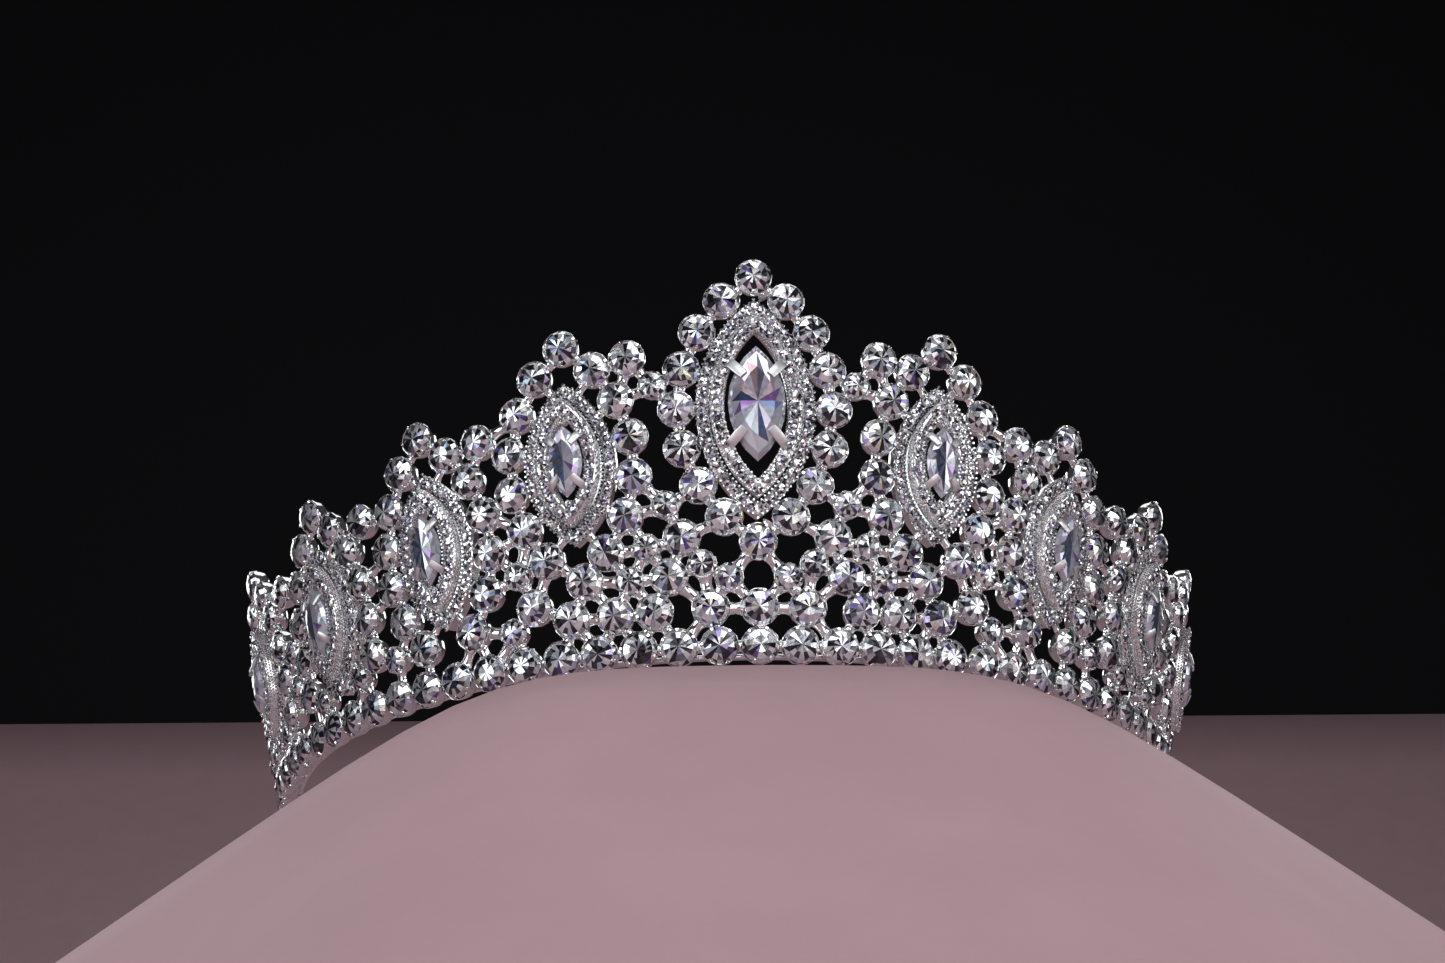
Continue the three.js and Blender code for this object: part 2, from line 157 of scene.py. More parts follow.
CREASE = 50  # degrees; a casting's sharper edges stay sharp

# Beads round each pavé stone: share of the band's width, half pitches along it, depth below its top
BAND_GRAINS = [(0.04, 1, -0.02), (0.96, 1, -0.02), (-0.02, 0, 0.14), (1.02, 0, 0.14)]
WALL_ROWS = [(0.5, 0.33), (0.92, 0.0), (1.34, 0.33)]  # depth and stagger of the beads on a halo's walls
WALL_STEPS = (0, 0.67, 1.33)
HALO_GRAINS = BAND_GRAINS + [
    (wall, stagger + step, depth)
    for wall in (0, 1) for depth, stagger in WALL_ROWS for step in WALL_STEPS
]

# Painted reflections on cut facets: bright tints stand in for glints and coloured fire, dark ones for the
# dark surroundings mirrored in real cut glass; and how often each comes
BRIGHT_REFLECTIONS = [
    ((0.94, 0.97, 1.00), 14), ((0.78, 0.81, 0.86), 8), ((0.52, 0.54, 0.60), 4), ((0.66, 0.62, 1.00), 1),
    ((0.60, 0.78, 1.00), 1), ((0.95, 0.97, 0.74), 1), ((0.98, 0.82, 0.80), 1),
]
DARK_REFLECTIONS = [
    ((0.01, 0.01, 0.02), 7), ((0.05, 0.055, 0.075), 5), ((0.18, 0.20, 0.24), 3), ((0.14, 0.10, 0.34), 1),
]
# Crystals: painted reflections and shade on their facets. Tints of the outer facets above and below the
# middle, then of the inner facets, once round anticlockwise from the right. The side crystals' inner facets
# from the top round the left to the bottom are painted in shade
PALE, CLEAR = (0.62, 0.59, 0.72), (0.70, 0.78, 0.86)
ROSE, MAUVE, SLATE = (0.60, 0.48, 0.54), (0.38, 0.26, 0.28), (0.15, 0.16, 0.21)
VIOLET, BLUE, INK = (0.32, 0.18, 0.50), (0.20, 0.28, 0.52), (0.07, 0.10, 0.22)
CENTRE_CORE = [
    VIOLET, ROSE, PALE, SLATE, MAUVE, PALE, ROSE, INK, VIOLET, CLEAR, CLEAR, CLEAR, INK, PALE, CLEAR, BLUE,
]
SIDE_CORE = [
    CLEAR, PALE, CLEAR, PALE, SLATE, SLATE, INK, SLATE, SLATE, INK, SLATE, INK, CLEAR, PALE, VIOLET, CLEAR,
]
# How often a facet gets a painted dark reflection rather than a bright one
ROUND_DARK = (0.18, 0.8, 0.28)  # shares of dark facets: even wedges, odd wedges, rim
ECHO_CHANGE = 0.3  # chance that an inner facet differs from its wedge
TINT_LOW, SHADE_LOW = 0.88, 0.8  # least level of a tint, for stones and for crystals
PLAIN = (1.0, 1.0, 1.0)
NOISE_MIDDLE = (0.3, 0.7)

# Cuts: lengths are in millimetres and tilts in radians
STONE_SHARE = 0.94  # a stone's radius as a share of its cup's
STONE_CUT = (0.385, 0.38, 0.26, 0.04, -0.06, -0.72)  # heights of a round cut, as shares of its radius
ROUND_RINGS, CRYSTAL_RINGS = (0.46, 0.80), (0.60, 0.88)  # sizes of a cut's inner and outer rings
RING_WAVE = 0.1  # how far a ring's points step up and down, as a share of the rings' height apart
STONE_WEDGES, PAVE_WEDGES = 16, 8
STONE_TILT, PAVE_TILT = 0.06, 0.2
CRYSTAL_TABLE = (0.06, 0.1)  # depth of a crystal's middle and inner ring below its table
CRYSTAL_SHOULDER = 0.62  # height of its outer ring, as a share of the way from girdle to table
CRYSTAL_GIRDLE = 0.12  # half the thickness of its edge

# The photograph's viewpoint, in the model's own frame
CAMERA_AT = Vector((-0.02219, -0.26634, -0.08870))
CAMERA_RIGHT = Vector((0.9968, -0.0801, 0.0))
CAMERA_FORWARD = Vector((0.0711, 0.8845, 0.4613))
CAMERA_ROLL = math.radians(1.998)
CAMERA_LENS = 44.84
SENSOR_WIDTH = 36.0

# The studio, in metres
FLOOR_LEVEL = -0.14
FLOOR_REACH, FLOOR_LINES = 1.6, 161  # half its size, lines each way
FLOOR_SPREAD = 2.2  # the power that draws the lines together in the middle
MOUND_SIDE = (0.036, 0.75, 0.007)  # a slope's start, steepness and rounding
MOUND_FRONT = (0.0455, 0.84, 0.0012)
MOUND_BACK = (0.03, 0.84, 0.008)
MOUND_FOOT = 0.01  # rounding where the mound meets the floor
SWEEP, SWEEP_HEIGHT = (0.8, 1.6, 0.05), 0.57
BACKDROP_AT, BACKDROP_HALF, BACKDROP_TOP = 1.5, 2.6, 2.8
FLOOR_COLOUR = (0.48, 0.32, 0.355)
BACKDROP_COLOUR = (0.004, 0.004, 0.006)
WORLD_COLOUR = (0.040, 0.038, 0.043)
LIT_POINT = Vector((0, -0.02, 0.03))
LIGHTS = [  # name, place, size, power, colour
    ("key_front", (0.05, -0.95, 0.50), (0.9, 0.45), 4.9, (1, 1, 1)),
    ("left_soft", (-0.80, -0.55, 0.12), (0.35, 0.6), 2.5, (0.97, 0.98, 1.0)),
    ("right_soft", (0.85, -0.50, 0.08), (0.35, 0.6), 2.0, (1.0, 0.98, 0.97)),
    ("low_front", (0.12, -0.80, -0.04), (0.5, 0.10), 0.6, (1.0, 0.96, 0.96)),
    ("top_soft", (0.0, 0.05, 0.85), (0.6, 0.5), 1.3, (1, 1, 1)),
    ("back_left", (-0.5, 0.62, 0.40), (0.3, 0.3), 1.0, (1, 1, 1)),
    ("back_right", (0.55, 0.58, 0.45), (0.3, 0.3), 1.0, (1, 1, 1)),
]


# ---- the wall ----------------------------------------------------------------------------------


def wall_point(u, v, w):
    angle = u / BASE_RADIUS
    radius = BASE_RADIUS + v * math.sin(FLARE) + w * math.cos(FLARE)
    height = v * math.cos(FLARE) - w * math.sin(FLARE)
    return Vector((radius * math.sin(angle), CENTRE_SHIFT_Y - radius * math.cos(angle), height))


def wall_axes(u):
    """Directions across, up the slope and outward at u."""
    angle = u / BASE_RADIUS
    right = Vector((math.cos(angle), math.sin(angle), 0))
    level = math.cos(FLARE)
    out = Vector((level * math.sin(angle), -level * math.cos(angle), -math.sin(FLARE)))
    return right, out.cross(right), out


def spread(v):
    """How much longer the wall is round at v than at its foot."""
    return 1 + v * math.sin(FLARE) / BASE_RADIUS


class Sheet:
    """A flat drawing of a motif, wrapped on the wall round its own middle."""

    def __init__(self, u, v, lean=0.0):
        self.u, self.v = u, v
        self.cos, self.sin = math.cos(math.radians(lean)), math.sin(math.radians(lean))

    def place(self, x, y):
        across = x * self.cos + y * self.sin
        v = self.v - x * self.sin + y * self.cos
        return self.u + across / spread(v), v

    def point(self, x, y, w):
        return wall_point(*self.place(x, y), w)

    def seat(self, x, y, turn=0.0, tilt=(0.0, 0.0)):
        """A rigid frame at a place on the drawing: x across, y up, z outward."""
        u, v = self.place(x, y)
        return seat_at(u, v, turn - math.atan2(self.sin, self.cos), tilt)


def seat_at(u, v, turn=0.0, tilt=(0.0, 0.0)):
    """A rigid frame on the wall, turned about its own z after a tilt."""
    right, up, out = wall_axes(u)
    axes = Matrix((right, up, out)).transposed().to_4x4()
    lean = Matrix.Rotation(tilt[0], 4, "X") @ Matrix.Rotation(tilt[1], 4, "Y")
    return Matrix.Translation(wall_point(u, v, 0)) @ axes @ lean @ Matrix.Rotation(turn, 4, "Z")


# ---- meshes ------------------------------------------------------------------------------------


class Pile:
    """Points and faces gathered for one object. Each face has a tint; on cut stones it is a painted
    reflection.
    """

    def __init__(self):
        self.points, self.faces = [], []
        self.tints, self.smooth = [], []

    def add_points(self, points):
        """Adds points and returns the number of the first."""
        self.points.extend(points)
        return len(self.points) - len(points)

    def add_face(self, start, face, tint, smooth=False):
        """Adds a face whose points are numbered from start."""
        self.faces.append([start + i for i in face])
        self.tints.extend((*tint, 1.0))
        self.smooth.append(smooth)

    def add(self, points, faces):
        start = self.add_points(points)
        for face in faces:
            self.add_face(start, face, PLAIN, smooth=True)

    def tube(self, rings, closed=False):
        """Skins equal rings of points; an open tube gets an end face at each end."""
        size = len(rings[0])
        points = [p for ring in rings for p in ring]
        faces = []
        count = len(rings)
        for i in range(count if closed else count - 1):
            a, b = i * size, ((i + 1) % count) * size
            for j in range(size):
                k = (j + 1) % size
                faces.append([a + j, a + k, b + k, b + j])
        if not closed:
            faces.append(list(range(size))[::-1])
            faces.append([(count - 1) * size + j for j in range(size)])
        self.add(points, faces)


def make(name, pile, material, nodes=(), crease=None):
    """One object on the body, standing for the CAD nodes it covers."""
    mesh = bpy.data.meshes.new(name)
    mesh.from_pydata([p * MM for p in pile.points], [], pile.faces)
    mesh.materials.append(material)
    mesh.polygons.foreach_set("use_smooth", pile.smooth)
    tint = mesh.attributes.new("tint", "FLOAT_COLOR", "FACE")
    tint.data.foreach_set("color", pile.tints)
    if crease:
        mesh.set_sharp_from_angle(angle=math.radians(crease))
    mesh.update()
    obj = bpy.data.objects.new(name, mesh)
    bpy.context.scene.collection.objects.link(obj)
    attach(obj, BODY)
    if nodes:
        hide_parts(*nodes)


def lathe(pile, seat, profile, sides):
    """Turns (radius, w) points about the seat's axis; the profile starts and ends on the axis."""
    inner = profile[1:-1]
    points = [seat @ Vector((0, 0, profile[0][1])), seat @ Vector((0, 0, profile[-1][1]))]
    for radius, w in inner:
        for i in range(sides):
            angle = 2 * math.pi * i / sides
            points.append(seat @ Vector((radius * math.cos(angle), radius * math.sin(angle), w)))
    faces = []
    last = 2 + (len(inner) - 1) * sides
    for i in range(sides):
        j = (i + 1) % sides
        faces.append([0, 2 + j, 2 + i])
        faces.append([1, last + i, last + j])
        for level in range(len(inner) - 1):
            a = 2 + level * sides
            faces.append([a + i, a + j, a + sides + j, a + sides + i])
    pile.add(points, faces)


# ---- stones ------------------------------------------------------------------------------------


def picker(tints, rng):
    """A function that draws a tint, in the given shares, with a little variation."""
    colours = [colour for colour, share in tints]
    shares = [share for colour, share in tints]

    def draw():
        colour = rng.choices(colours, shares)[0]
        level = rng.uniform(TINT_LOW, 1.0)
        return tuple(level * c for c in colour)

    return draw


class Sparkle:
    """Draws painted reflections, bright and dark, for a stone's facets, whose wedges may alternate between
    dark and bright.
    """

    def __init__(self, rng, bright, dark, dark_shares):
        self.rng = rng
        self.bright = picker(bright, rng)
        self.dark = picker(dark, rng)
        self.even, self.odd, self.edge = dark_shares

    def draw(self, dark_share):
        return self.dark() if self.rng.random() < dark_share else self.bright()

    def rim(self):
        return self.draw(self.edge)

    def middle(self, _, own):
        """An inner facet's tint: its wedge's own, or now and then another."""
        return self.draw((self.even + self.odd) / 2) if self.rng.random() < ECHO_CHANGE else own

    def wedges(self, count):
        return [self.draw(self.odd if i % 2 else self.even) for i in range(count)]


class Painted:
    """Painted reflections and shade for a crystal's facets: outer ones by height, inner ones from a list
    once round.
    """

    def __init__(self, rng, upper, lower, core):
        self.rng, self.upper, self.lower, self.core = rng, upper, lower, core

    def shade(self, colour):
        level = self.rng.uniform(SHADE_LOW, 1.0)
        return tuple(level * c for c in colour)

    def rim(self):
        return self.shade(self.rng.choice([self.upper, self.lower]))

    def middle(self, i, _):
        return self.shade(self.core[i])

    def wedges(self, count):
        return [self.shade(self.upper if i < count / 2 else self.lower) for i in range(count)]


def ring_of(seat, edge, count, share, heights):
    """Points round an outline scaled by share; heights repeat round the ring."""
    points = []
    for i in range(count):
        x, y = edge(i / count)
        points.append(seat @ Vector((share * x, share * y, heights[i % len(heights)])))
    return points


def pie_stone(pile, seat, edge, cut, wedges, sparkle, shares=ROUND_RINGS):
    """A closed cut stone: wedges from its middle, a ring of rim facets, and a pointed back.

    edge(share) is its outline once round. cut holds the heights of the middle, the inner and
    outer rings, the girdle's two edges, and the back. shares are the two rings' sizes.
    """
    middle, inner, outer, top, bottom, back = cut
    drop = RING_WAVE * (inner - outer)
    rings = [
        ring_of(seat, edge, wedges, shares[0], (inner, inner - drop)),
        ring_of(seat, edge, wedges, shares[1], (outer, outer + drop)),
        ring_of(seat, edge, wedges, 1.0, (top,)),
        ring_of(seat, edge, wedges, 1.0, (bottom,)),
    ]
    points = [p for ring in rings for p in ring]
    start = pile.add_points([*points, seat @ Vector((0, 0, middle)), seat @ Vector((0, 0, back))])
    apex, point = len(points), len(points) + 1
    tints = sparkle.wedges(wedges)

    def facet(face, tint):
        pile.add_face(start, face, tint)

    for i in range(wedges):
        j = (i + 1) % wedges
        a, b, c, d = (i + level * wedges for level in range(4))
        e, f, g, h = (j + level * wedges for level in range(4))
        own = tints[i]
        facet([apex, a, e], sparkle.middle(i, own))
        facet([a, b, f], own)
        facet([a, f, e], sparkle.middle(i, own))
        facet([b, c, f] if i % 2 else [b, c, g], sparkle.rim())
        facet([c, g, f] if i % 2 else [b, g, f], sparkle.rim())
        facet([c, d, h, g], own)
        facet([d, point, h], own)


def round_edge(radius):
    """Outline of a round stone once round."""
    def edge(share):
        angle = 2 * math.pi * share
        return radius * math.cos(angle), radius * math.sin(angle)

    return edge


def oval_edge(oval):
    """Outline of a marquise once round, anticlockwise from its right; its points are up and down."""
    radius, offset, reach = arcs(oval)

    def edge(share):
        quarter = 4 * share
        side = -1 if 1 < quarter < 3 else 1
        rise = quarter if quarter <= 1 else 2 - quarter if quarter < 3 else quarter - 4
        angle = rise * reach
        return side * (radius * math.cos(angle) - offset), radius * math.sin(angle)

    return edge


def rhinestone(pile, u, v, size, rng, sparkle):
    """The stone in a cup, a little tilted and turned."""
    tilt = (rng.uniform(-STONE_TILT, STONE_TILT), rng.uniform(-STONE_TILT, STONE_TILT))
    seat = seat_at(u, v, rng.uniform(0, math.pi / 4), tilt)
    radius = STONE_SHARE * CUP_SWELL * size / 2
    cut = [radius * share for share in STONE_CUT]
    pie_stone(pile, seat, round_edge(radius), cut, STONE_WEDGES, sparkle)


def micro_stone(pile, seat, radius, w, sparkle):
    """A pavé stone, cut like the large ones but with fewer wedges."""
    cut = [w + radius * share for share in STONE_CUT]
    pie_stone(pile, seat, round_edge(radius), cut, PAVE_WEDGES, sparkle)


def bead(pile, centre, radius, axes):
    """A small ball, flattened at the poles by its few rings."""
    right, up, out = axes
    loops = []
    for share, height in BEAD_LEVELS:
        loop = []
        for i in range(BEAD_SIDES):
            angle = 2 * math.pi * i / BEAD_SIDES
            across = right * math.cos(angle) + up * math.sin(angle)
            loop.append(centre + across * (share * radius) + out * (height * radius))
        loops.append(loop)
    pile.tube(loops)


# ---- castings ----------------------------------------------------------------------------------


def cup(pile, u, v, size, turn):
    """A round cup with a thin rim, a domed back and small claws over the stone."""
    radius = CUP_SWELL * size / 2
    seat = seat_at(u, v, turn)
    lathe(pile, seat, [(share * radius, w) for share, w in CUP_PROFILE], CUP_SIDES)
    for i in range(CUP_CLAWS):
        claw(pile, seat @ Matrix.Rotation(2 * math.pi * i / CUP_CLAWS, 4, "Z"), radius)


def claw(pile, seat, radius):
    """A rounded finger from the cup's wall over the edge of the stone."""
    rings = []
    for i, (share, w, half) in enumerate(CLAW_PATH):
        before, after = CLAW_PATH[max(i - 1, 0)], CLAW_PATH[min(i + 1, len(CLAW_PATH) - 1)]
        along = Vector(((after[0] - before[0]) * radius, 0, after[1] - before[1])).normalized()
        lift = Vector((along.z, 0, -along.x))
        centre = Vector((share * radius - CLAW_THICK, 0, w))
        ring = []
        for side, rise in CLAW_SECTION:
            ring.append(seat @ (centre + Vector((0, side * half, 0)) + lift * (rise * CLAW_THICK)))
        rings.append(ring)
    pile.tube(rings)


def link(pile, a, b, out, halves):
    """A waisted bar from a to b, an oval in section, with half widths at its ends and waist."""
    ends, waist = halves
    along = b - a
    side = along.cross(out).normalized()
    rings = []
    for i in range(LINK_STEPS + 1):
        share = i / LINK_STEPS
        swell = (2 * share - 1) ** 2
        half = waist + (ends - waist) * swell
        centre = a + along * share
        ring = []
        for j in range(LINK_SIDES):
            angle = 2 * math.pi * j / LINK_SIDES
            deep = LINK_FLATNESS * half * math.sin(angle)
            ring.append(centre + side * (half * math.cos(angle)) - out * deep)
        rings.append(ring)
    pile.tube(rings)


def link_cups(pile, first, second):
    """Joins two cups given as (u, v, size)."""
    a, b = wall_point(*first[:2], LINK_LEVEL), wall_point(*second[:2], LINK_LEVEL)
    out = (wall_axes(first[0])[2] + wall_axes(second[0])[2]).normalized()
    along = (b - a).normalized()
    start, end = a + along * (LINK_START * first[2]), b - along * (LINK_START * second[2])
    link(pile, start, end, out, LINK_BAR)


def arcs(oval):
    """Radius of a pointed oval's two arcs, how far their centres are off its middle, and their reach."""
    across, up = oval
    radius = (across * across + up * up) / (2 * across)
    return radius, radius - across, math.asin(up / radius)


def oval_place(oval, inset, share, side):
    """A place on the pointed oval inset inside the given one; share runs from -1 to 1 up a side."""
    radius, offset, _ = arcs(oval)
    inner = radius - inset
    angle = share * math.acos(offset / inner)
    return side * (inner * math.cos(angle) - offset), inner * math.sin(angle)


def oval_walk(count):
    """(share, side) pairs round a pointed oval, from its bottom, evenly spaced."""
    walk = [(-1 + 2 * i / count, 1) for i in range(count)]
    return walk + [(1 - 2 * i / count, -1) for i in range(count)]


def pave_band(pile, stones, sheet, oval, width, back, top, pitch, sparkle, grains):
    """A domed band round a pointed oval, with one row of set stones and beads between them."""
    section = [(0.0, back), *((t, top - depth) for t, depth in BAND_CROWN), (1.0, back)]
    rings = []
    for share, side in oval_walk(BAND_STEPS):
        rings.append([
            sheet.point(*oval_place(oval, t * width, share, side), w) for t, w in section
        ])
    pile.tube(rings, closed=True)
    radius, _, reach = arcs(oval)
    length = 2 * reach * (radius - width / 2)
    count = round(length / pitch)
    size = PAVE_SHARE * min(width, pitch)
    rng = sparkle.rng
    for share, side in oval_walk(count):
        x, y = oval_place(oval, width / 2, share, side)
        tilt = (rng.uniform(-PAVE_TILT, PAVE_TILT), rng.uniform(-PAVE_TILT, PAVE_TILT))
        micro_stone(stones, sheet.seat(x, y, rng.uniform(0, math.pi / 4), tilt), size, top, sparkle)
        for t, step, drop in grains:
            along = min(1, max(-1, share + step * side / count))
            x, y = oval_place(oval, t * width, along, side)
            grain = sheet.point(x, y, top - drop)
            bead(pile, grain, rng.uniform(*BEAD_SIZES), wall_axes(sheet.place(x, y)[0]))


def halo_points(pile, stones, sheet, style, sparkle):
    """A plug with one stone in each end of a halo's opening."""
    x, tip = oval_place(style["halo"], style["halo_width"], 1, 1)
    shoulder, crown = HALO_TOP - PLUG_SHOULDER, HALO_TOP - PLUG_CROWN
    profile = [(0, PLUG_BACK), (PLUG_RADIUS, PLUG_BACK), (PLUG_RADIUS, shoulder), (0, crown)]
    for side in (1, -1):
        seat = sheet.seat(x, side * (tip - PLUG_RADIUS))
        lathe(pile, seat, profile, PLUG_SIDES)
        micro_stone(stones, seat, PLUG_STONE[0] * PLUG_RADIUS, HALO_TOP - PLUG_STONE[1], sparkle)
        for i in range(PLUG_BEADS):
            turn = seat @ Matrix.Rotation(2 * math.pi * (i + 0.5) / PLUG_BEADS, 4, "Z")
            grain = turn @ Vector((PLUG_GRAIN[0] * PLUG_RADIUS, 0, HALO_TOP - PLUG_GRAIN[1]))
            bead(pile, grain, PLUG_BEAD, wall_axes(sheet.u))


def prong(pile, sheet, style, sx, sy):
    """A flat finger from the halo's inner edge, bent over the crystal's shoulder."""
    share, outer, reach = style["prong_at"], style["halo_width"], style["prong_reach"]
    start = Vector(oval_place(style["halo"], outer - PRONG_ROOT, share * sy, sx))
    inner = Vector(oval_place(style["halo"], outer + PRONG_AIM, share * sy, sx))
    inward = (inner - start).normalized()
    aside = Vector((-inward.y, inward.x))
    girdle, rise = style["girdle"], style["table"] - style["girdle"]
    path = [  # distance in from its start, w
        (0.0, girdle - 0.8), (0.1, girdle + 0.1), (0.5, girdle + 0.5),
        (0.6 * reach, girdle + 0.35 + 0.45 * rise), (reach, girdle + 0.3 + 0.75 * rise),
    ]
    half = style["prong_width"] / 2
    rings = []
    for step, w in path:
        narrow = half * (PRONG_TAPER if step == reach else 1)
        ring = []
        for a, b in PRONG_SECTION:
            place = start + inward * step + aside * (a * narrow)
            ring.append(sheet.point(place.x, place.y, w + b * PRONG_THICK))
        rings.append(ring)
    pile.tube(rings)


# ---- where the stones are ----------------------------------------------------------------------


def ring_places(motif):
    """Places of the large cups round a motif, on its own sheet; a low motif has straight legs."""
    style = motif["style"]
    across, up = style["ring"]
    radius, offset, reach = arcs(style["ring"])
    slots = style["slots"]
    places = [(0, up)]
    for k in range(1, slots // 2):
        angle = reach - 4 * k * reach / slots
        half, y = radius * math.cos(angle) - offset, radius * math.sin(angle)
        if motif["low"] and angle < 0:
            half, y = across, (0.5 - (k - (slots - 2) / 4)) * LEG_STEP
        if motif["low"] and k == slots // 2 - 1:
            continue
        places += [(half, y), (-half, y)]
    if style is CENTRE:
        places.append((0, -up))
    return places


def mirrored(places, side):
    return [(side * u, *rest) for u, *rest in places]


def motif_sheet(motif, side):
    return Sheet(side * motif["at"][0], motif["at"][1], side * motif["lean"])


def motif_cups(motif, side):
    """Cups of a motif's casting, the tip's first, then the valley's if it has one."""
    sheet = motif_sheet(motif, side)
    cups = [(*sheet.place(x, y), LARGE) for x, y in ring_places(motif)]
    if motif["valley"]:
        cups.insert(1, (*mirrored([motif["valley"]], side)[0], LARGE))
    if motif["low"]:
        x, y = LEG_SMALL
        cups += [(*sheet.place(x, y), SMALL), (*sheet.place(-x, y), SMALL)]
    if motif["style"] is CENTRE:
        cups += [CENTRE_LINK, *mirrored([CENTRE_LINK], -1)]
    return cups


def base_cups(first, last, side):
    return [(side * k * BASE_PITCH, BASE_HEIGHT, LARGE) for k in range(first, last + 1)]


def all_groups():
    """CAD node name and cups of every casting."""
    groups = {"frame_centre": motif_cups(MOTIFS[0], 1)}
    groups["base_row_front"] = base_cups(-FRONT_LAST, FRONT_LAST, 1) + [(0, ROW_TWO, LARGE)]
    for word, side in (("left", -1), ("right", 1)):
        for i, motif in enumerate(MOTIFS[1:], 1):
            groups[f"frame_{word}_{i}"] = motif_cups(motif, side)
        for i, bay in enumerate(BAYS, 1):
            groups[f"lattice_{word}_{i}"] = mirrored(bay, side)
        groups[f"base_row_{word}"] = base_cups(FRONT_LAST + 1, SIDE_LAST, side)
        ends = base_cups(SIDE_LAST + 1, END_LAST, side) + mirrored(END_STONES, side)
        groups[f"end_section_{word}"] = ends
    return groups


def near_pairs(groups):
    """Cups that are close enough to be joined, with no third cup between them."""
    cups = [(name, place) for name, places in groups.items() for place in places]
    spots = [wall_point(u, v, LINK_LEVEL) for _, (u, v, _) in cups]
    pairs = []
    for i, (name, first) in enumerate(cups):
        for j in range(i + 1, len(cups)):
            second = cups[j][1]
            reach = (first[2] + second[2]) / 2
            if (spots[i] - spots[j]).length - reach > LINK_REACH:
                continue
            middle = (spots[i] + spots[j]) / 2
            blocked = any(
                k not in (i, j) and (spots[k] - middle).length < cups[k][1][2] / 2 + LINK_CLEAR
                for k in range(len(cups))
            )
            if not blocked:
                pairs.append((name, first, second))
    return pairs


# ---- materials ---------------------------------------------------------------------------------


class Look:
    """A node material with one Principled shader."""

    def __init__(self, name):
        self.material = bpy.data.materials.new(name)
        self.material.use_nodes = True
        self.tree = self.material.node_tree
        self.tree.nodes.clear()
        self.shader = self.tree.nodes.new("ShaderNodeBsdfPrincipled")
        output = self.tree.nodes.new("ShaderNodeOutputMaterial")
        self.tree.links.new(self.shader.outputs["BSDF"], output.inputs["Surface"])
        self.where = self.tree.nodes.new("ShaderNodeTexCoord").outputs["Object"]

    def set(self, **values):
        for name, value in values.items():
            self.shader.inputs[name.replace("_", " ")].default_value = value

    def join(self, source, target):
        self.tree.links.new(source, target)

    def noise(self, scale, detail=3.0):
        node = self.tree.nodes.new("ShaderNodeTexNoise")
        node.inputs["Scale"].default_value = scale
        node.inputs["Detail"].default_value = detail
        self.join(self.where, node.inputs["Vector"])
        return node.outputs["Fac"]

    def ramp(self, source, stops):
        node = self.tree.nodes.new("ShaderNodeValToRGB")
        elements = node.color_ramp.elements
        while len(elements) < len(stops):
            elements.new(0.5)
        for element, (place, colour) in zip(elements, stops):
            element.position = place
            element.color = (*colour, 1)
        self.join(source, node.inputs["Fac"])
        return node.outputs["Color"]

    def span(self, source, low, high):
        """A noise's middle values, spread from low to high."""
        node = self.tree.nodes.new("ShaderNodeMapRange")
        self.join(source, node.inputs["Value"])
        node.inputs["From Min"].default_value, node.inputs["From Max"].default_value = NOISE_MIDDLE
        node.inputs["To Min"].default_value = low
        node.inputs["To Max"].default_value = high
        return node.outputs["Result"]

    def tinted(self, colour):
        """The faces' tint, which on cut stones is their painted reflection, times a colour."""
        attribute = self.tree.nodes.new("ShaderNodeAttribute")
        attribute.attribute_name = "tint"
        mix = self.tree.nodes.new("ShaderNodeMix")
        mix.data_type = "RGBA"
        mix.blend_type = "MULTIPLY"
        mix.inputs["Factor"].default_value = 1
        # A mix has one set of sockets for each data type: 6, 7 and the output 2 are the colours'
        self.join(attribute.outputs["Color"], mix.inputs[6])
        self.join(colour, mix.inputs[7])
        return mix.outputs[2]

    def bump(self, source, strength, distance):
        node = self.tree.nodes.new("ShaderNodeBump")
        node.inputs["Strength"].default_value = strength
        node.inputs["Distance"].default_value = distance
        self.join(source, node.inputs["Height"])
        self.join(node.outputs["Normal"], self.shader.inputs["Normal"])


def silver(name, smooth, rough, relief):
    look = Look(name)
    look.set(Metallic=1.0)
    colours = [(0.3, (0.78, 0.80, 0.81)), (0.55, (0.87, 0.89, 0.90)), (0.75, (0.94, 0.96, 0.96))]
    look.join(look.ramp(look.noise(380), colours), look.shader.inputs["Base Color"])
    look.join(look.span(look.noise(900), smooth, rough), look.shader.inputs["Roughness"])
    look.bump(look.noise(1500, 2), relief, 0.0001)
    return look.material


def cut_mirror(name, mirror, dull):
    """Foil-backed cut glass: facets tinted with painted reflections, bright and dark, under a clear polish.
    """
    look = Look(name)
    look.set(Metallic=mirror, IOR=1.55, Coat_Weight=1.0, Coat_Roughness=0.02, Coat_IOR=1.55)
    colours = [(0.35, (0.88, 0.90, 0.92)), (0.7, (1.0, 1.0, 1.0))]
    look.join(look.tinted(look.ramp(look.noise(700), colours)), look.shader.inputs["Base Color"])
    look.join(look.span(look.noise(1500), *dull), look.shader.inputs["Roughness"])
    return look.material


CAST = silver("polished_silver", 0.07, 0.2, 0.06)
PAVE_CAST = silver("grained_silver", 0.14, 0.3, 0.14)
SATIN = silver("satin_silver", 0.38, 0.5, 0.04)
STONE_LOOK = cut_mirror("rhinestone_facets", 0.8, (0.16, 0.3))
CRYSTAL_LOOK = cut_mirror("crystal_facets", 0.6, (0.12, 0.24))
MICRO_LOOK = cut_mirror("pave_facets", 0.8, (0.12, 0.3))


# ---- the tiara ---------------------------------------------------------------------------------


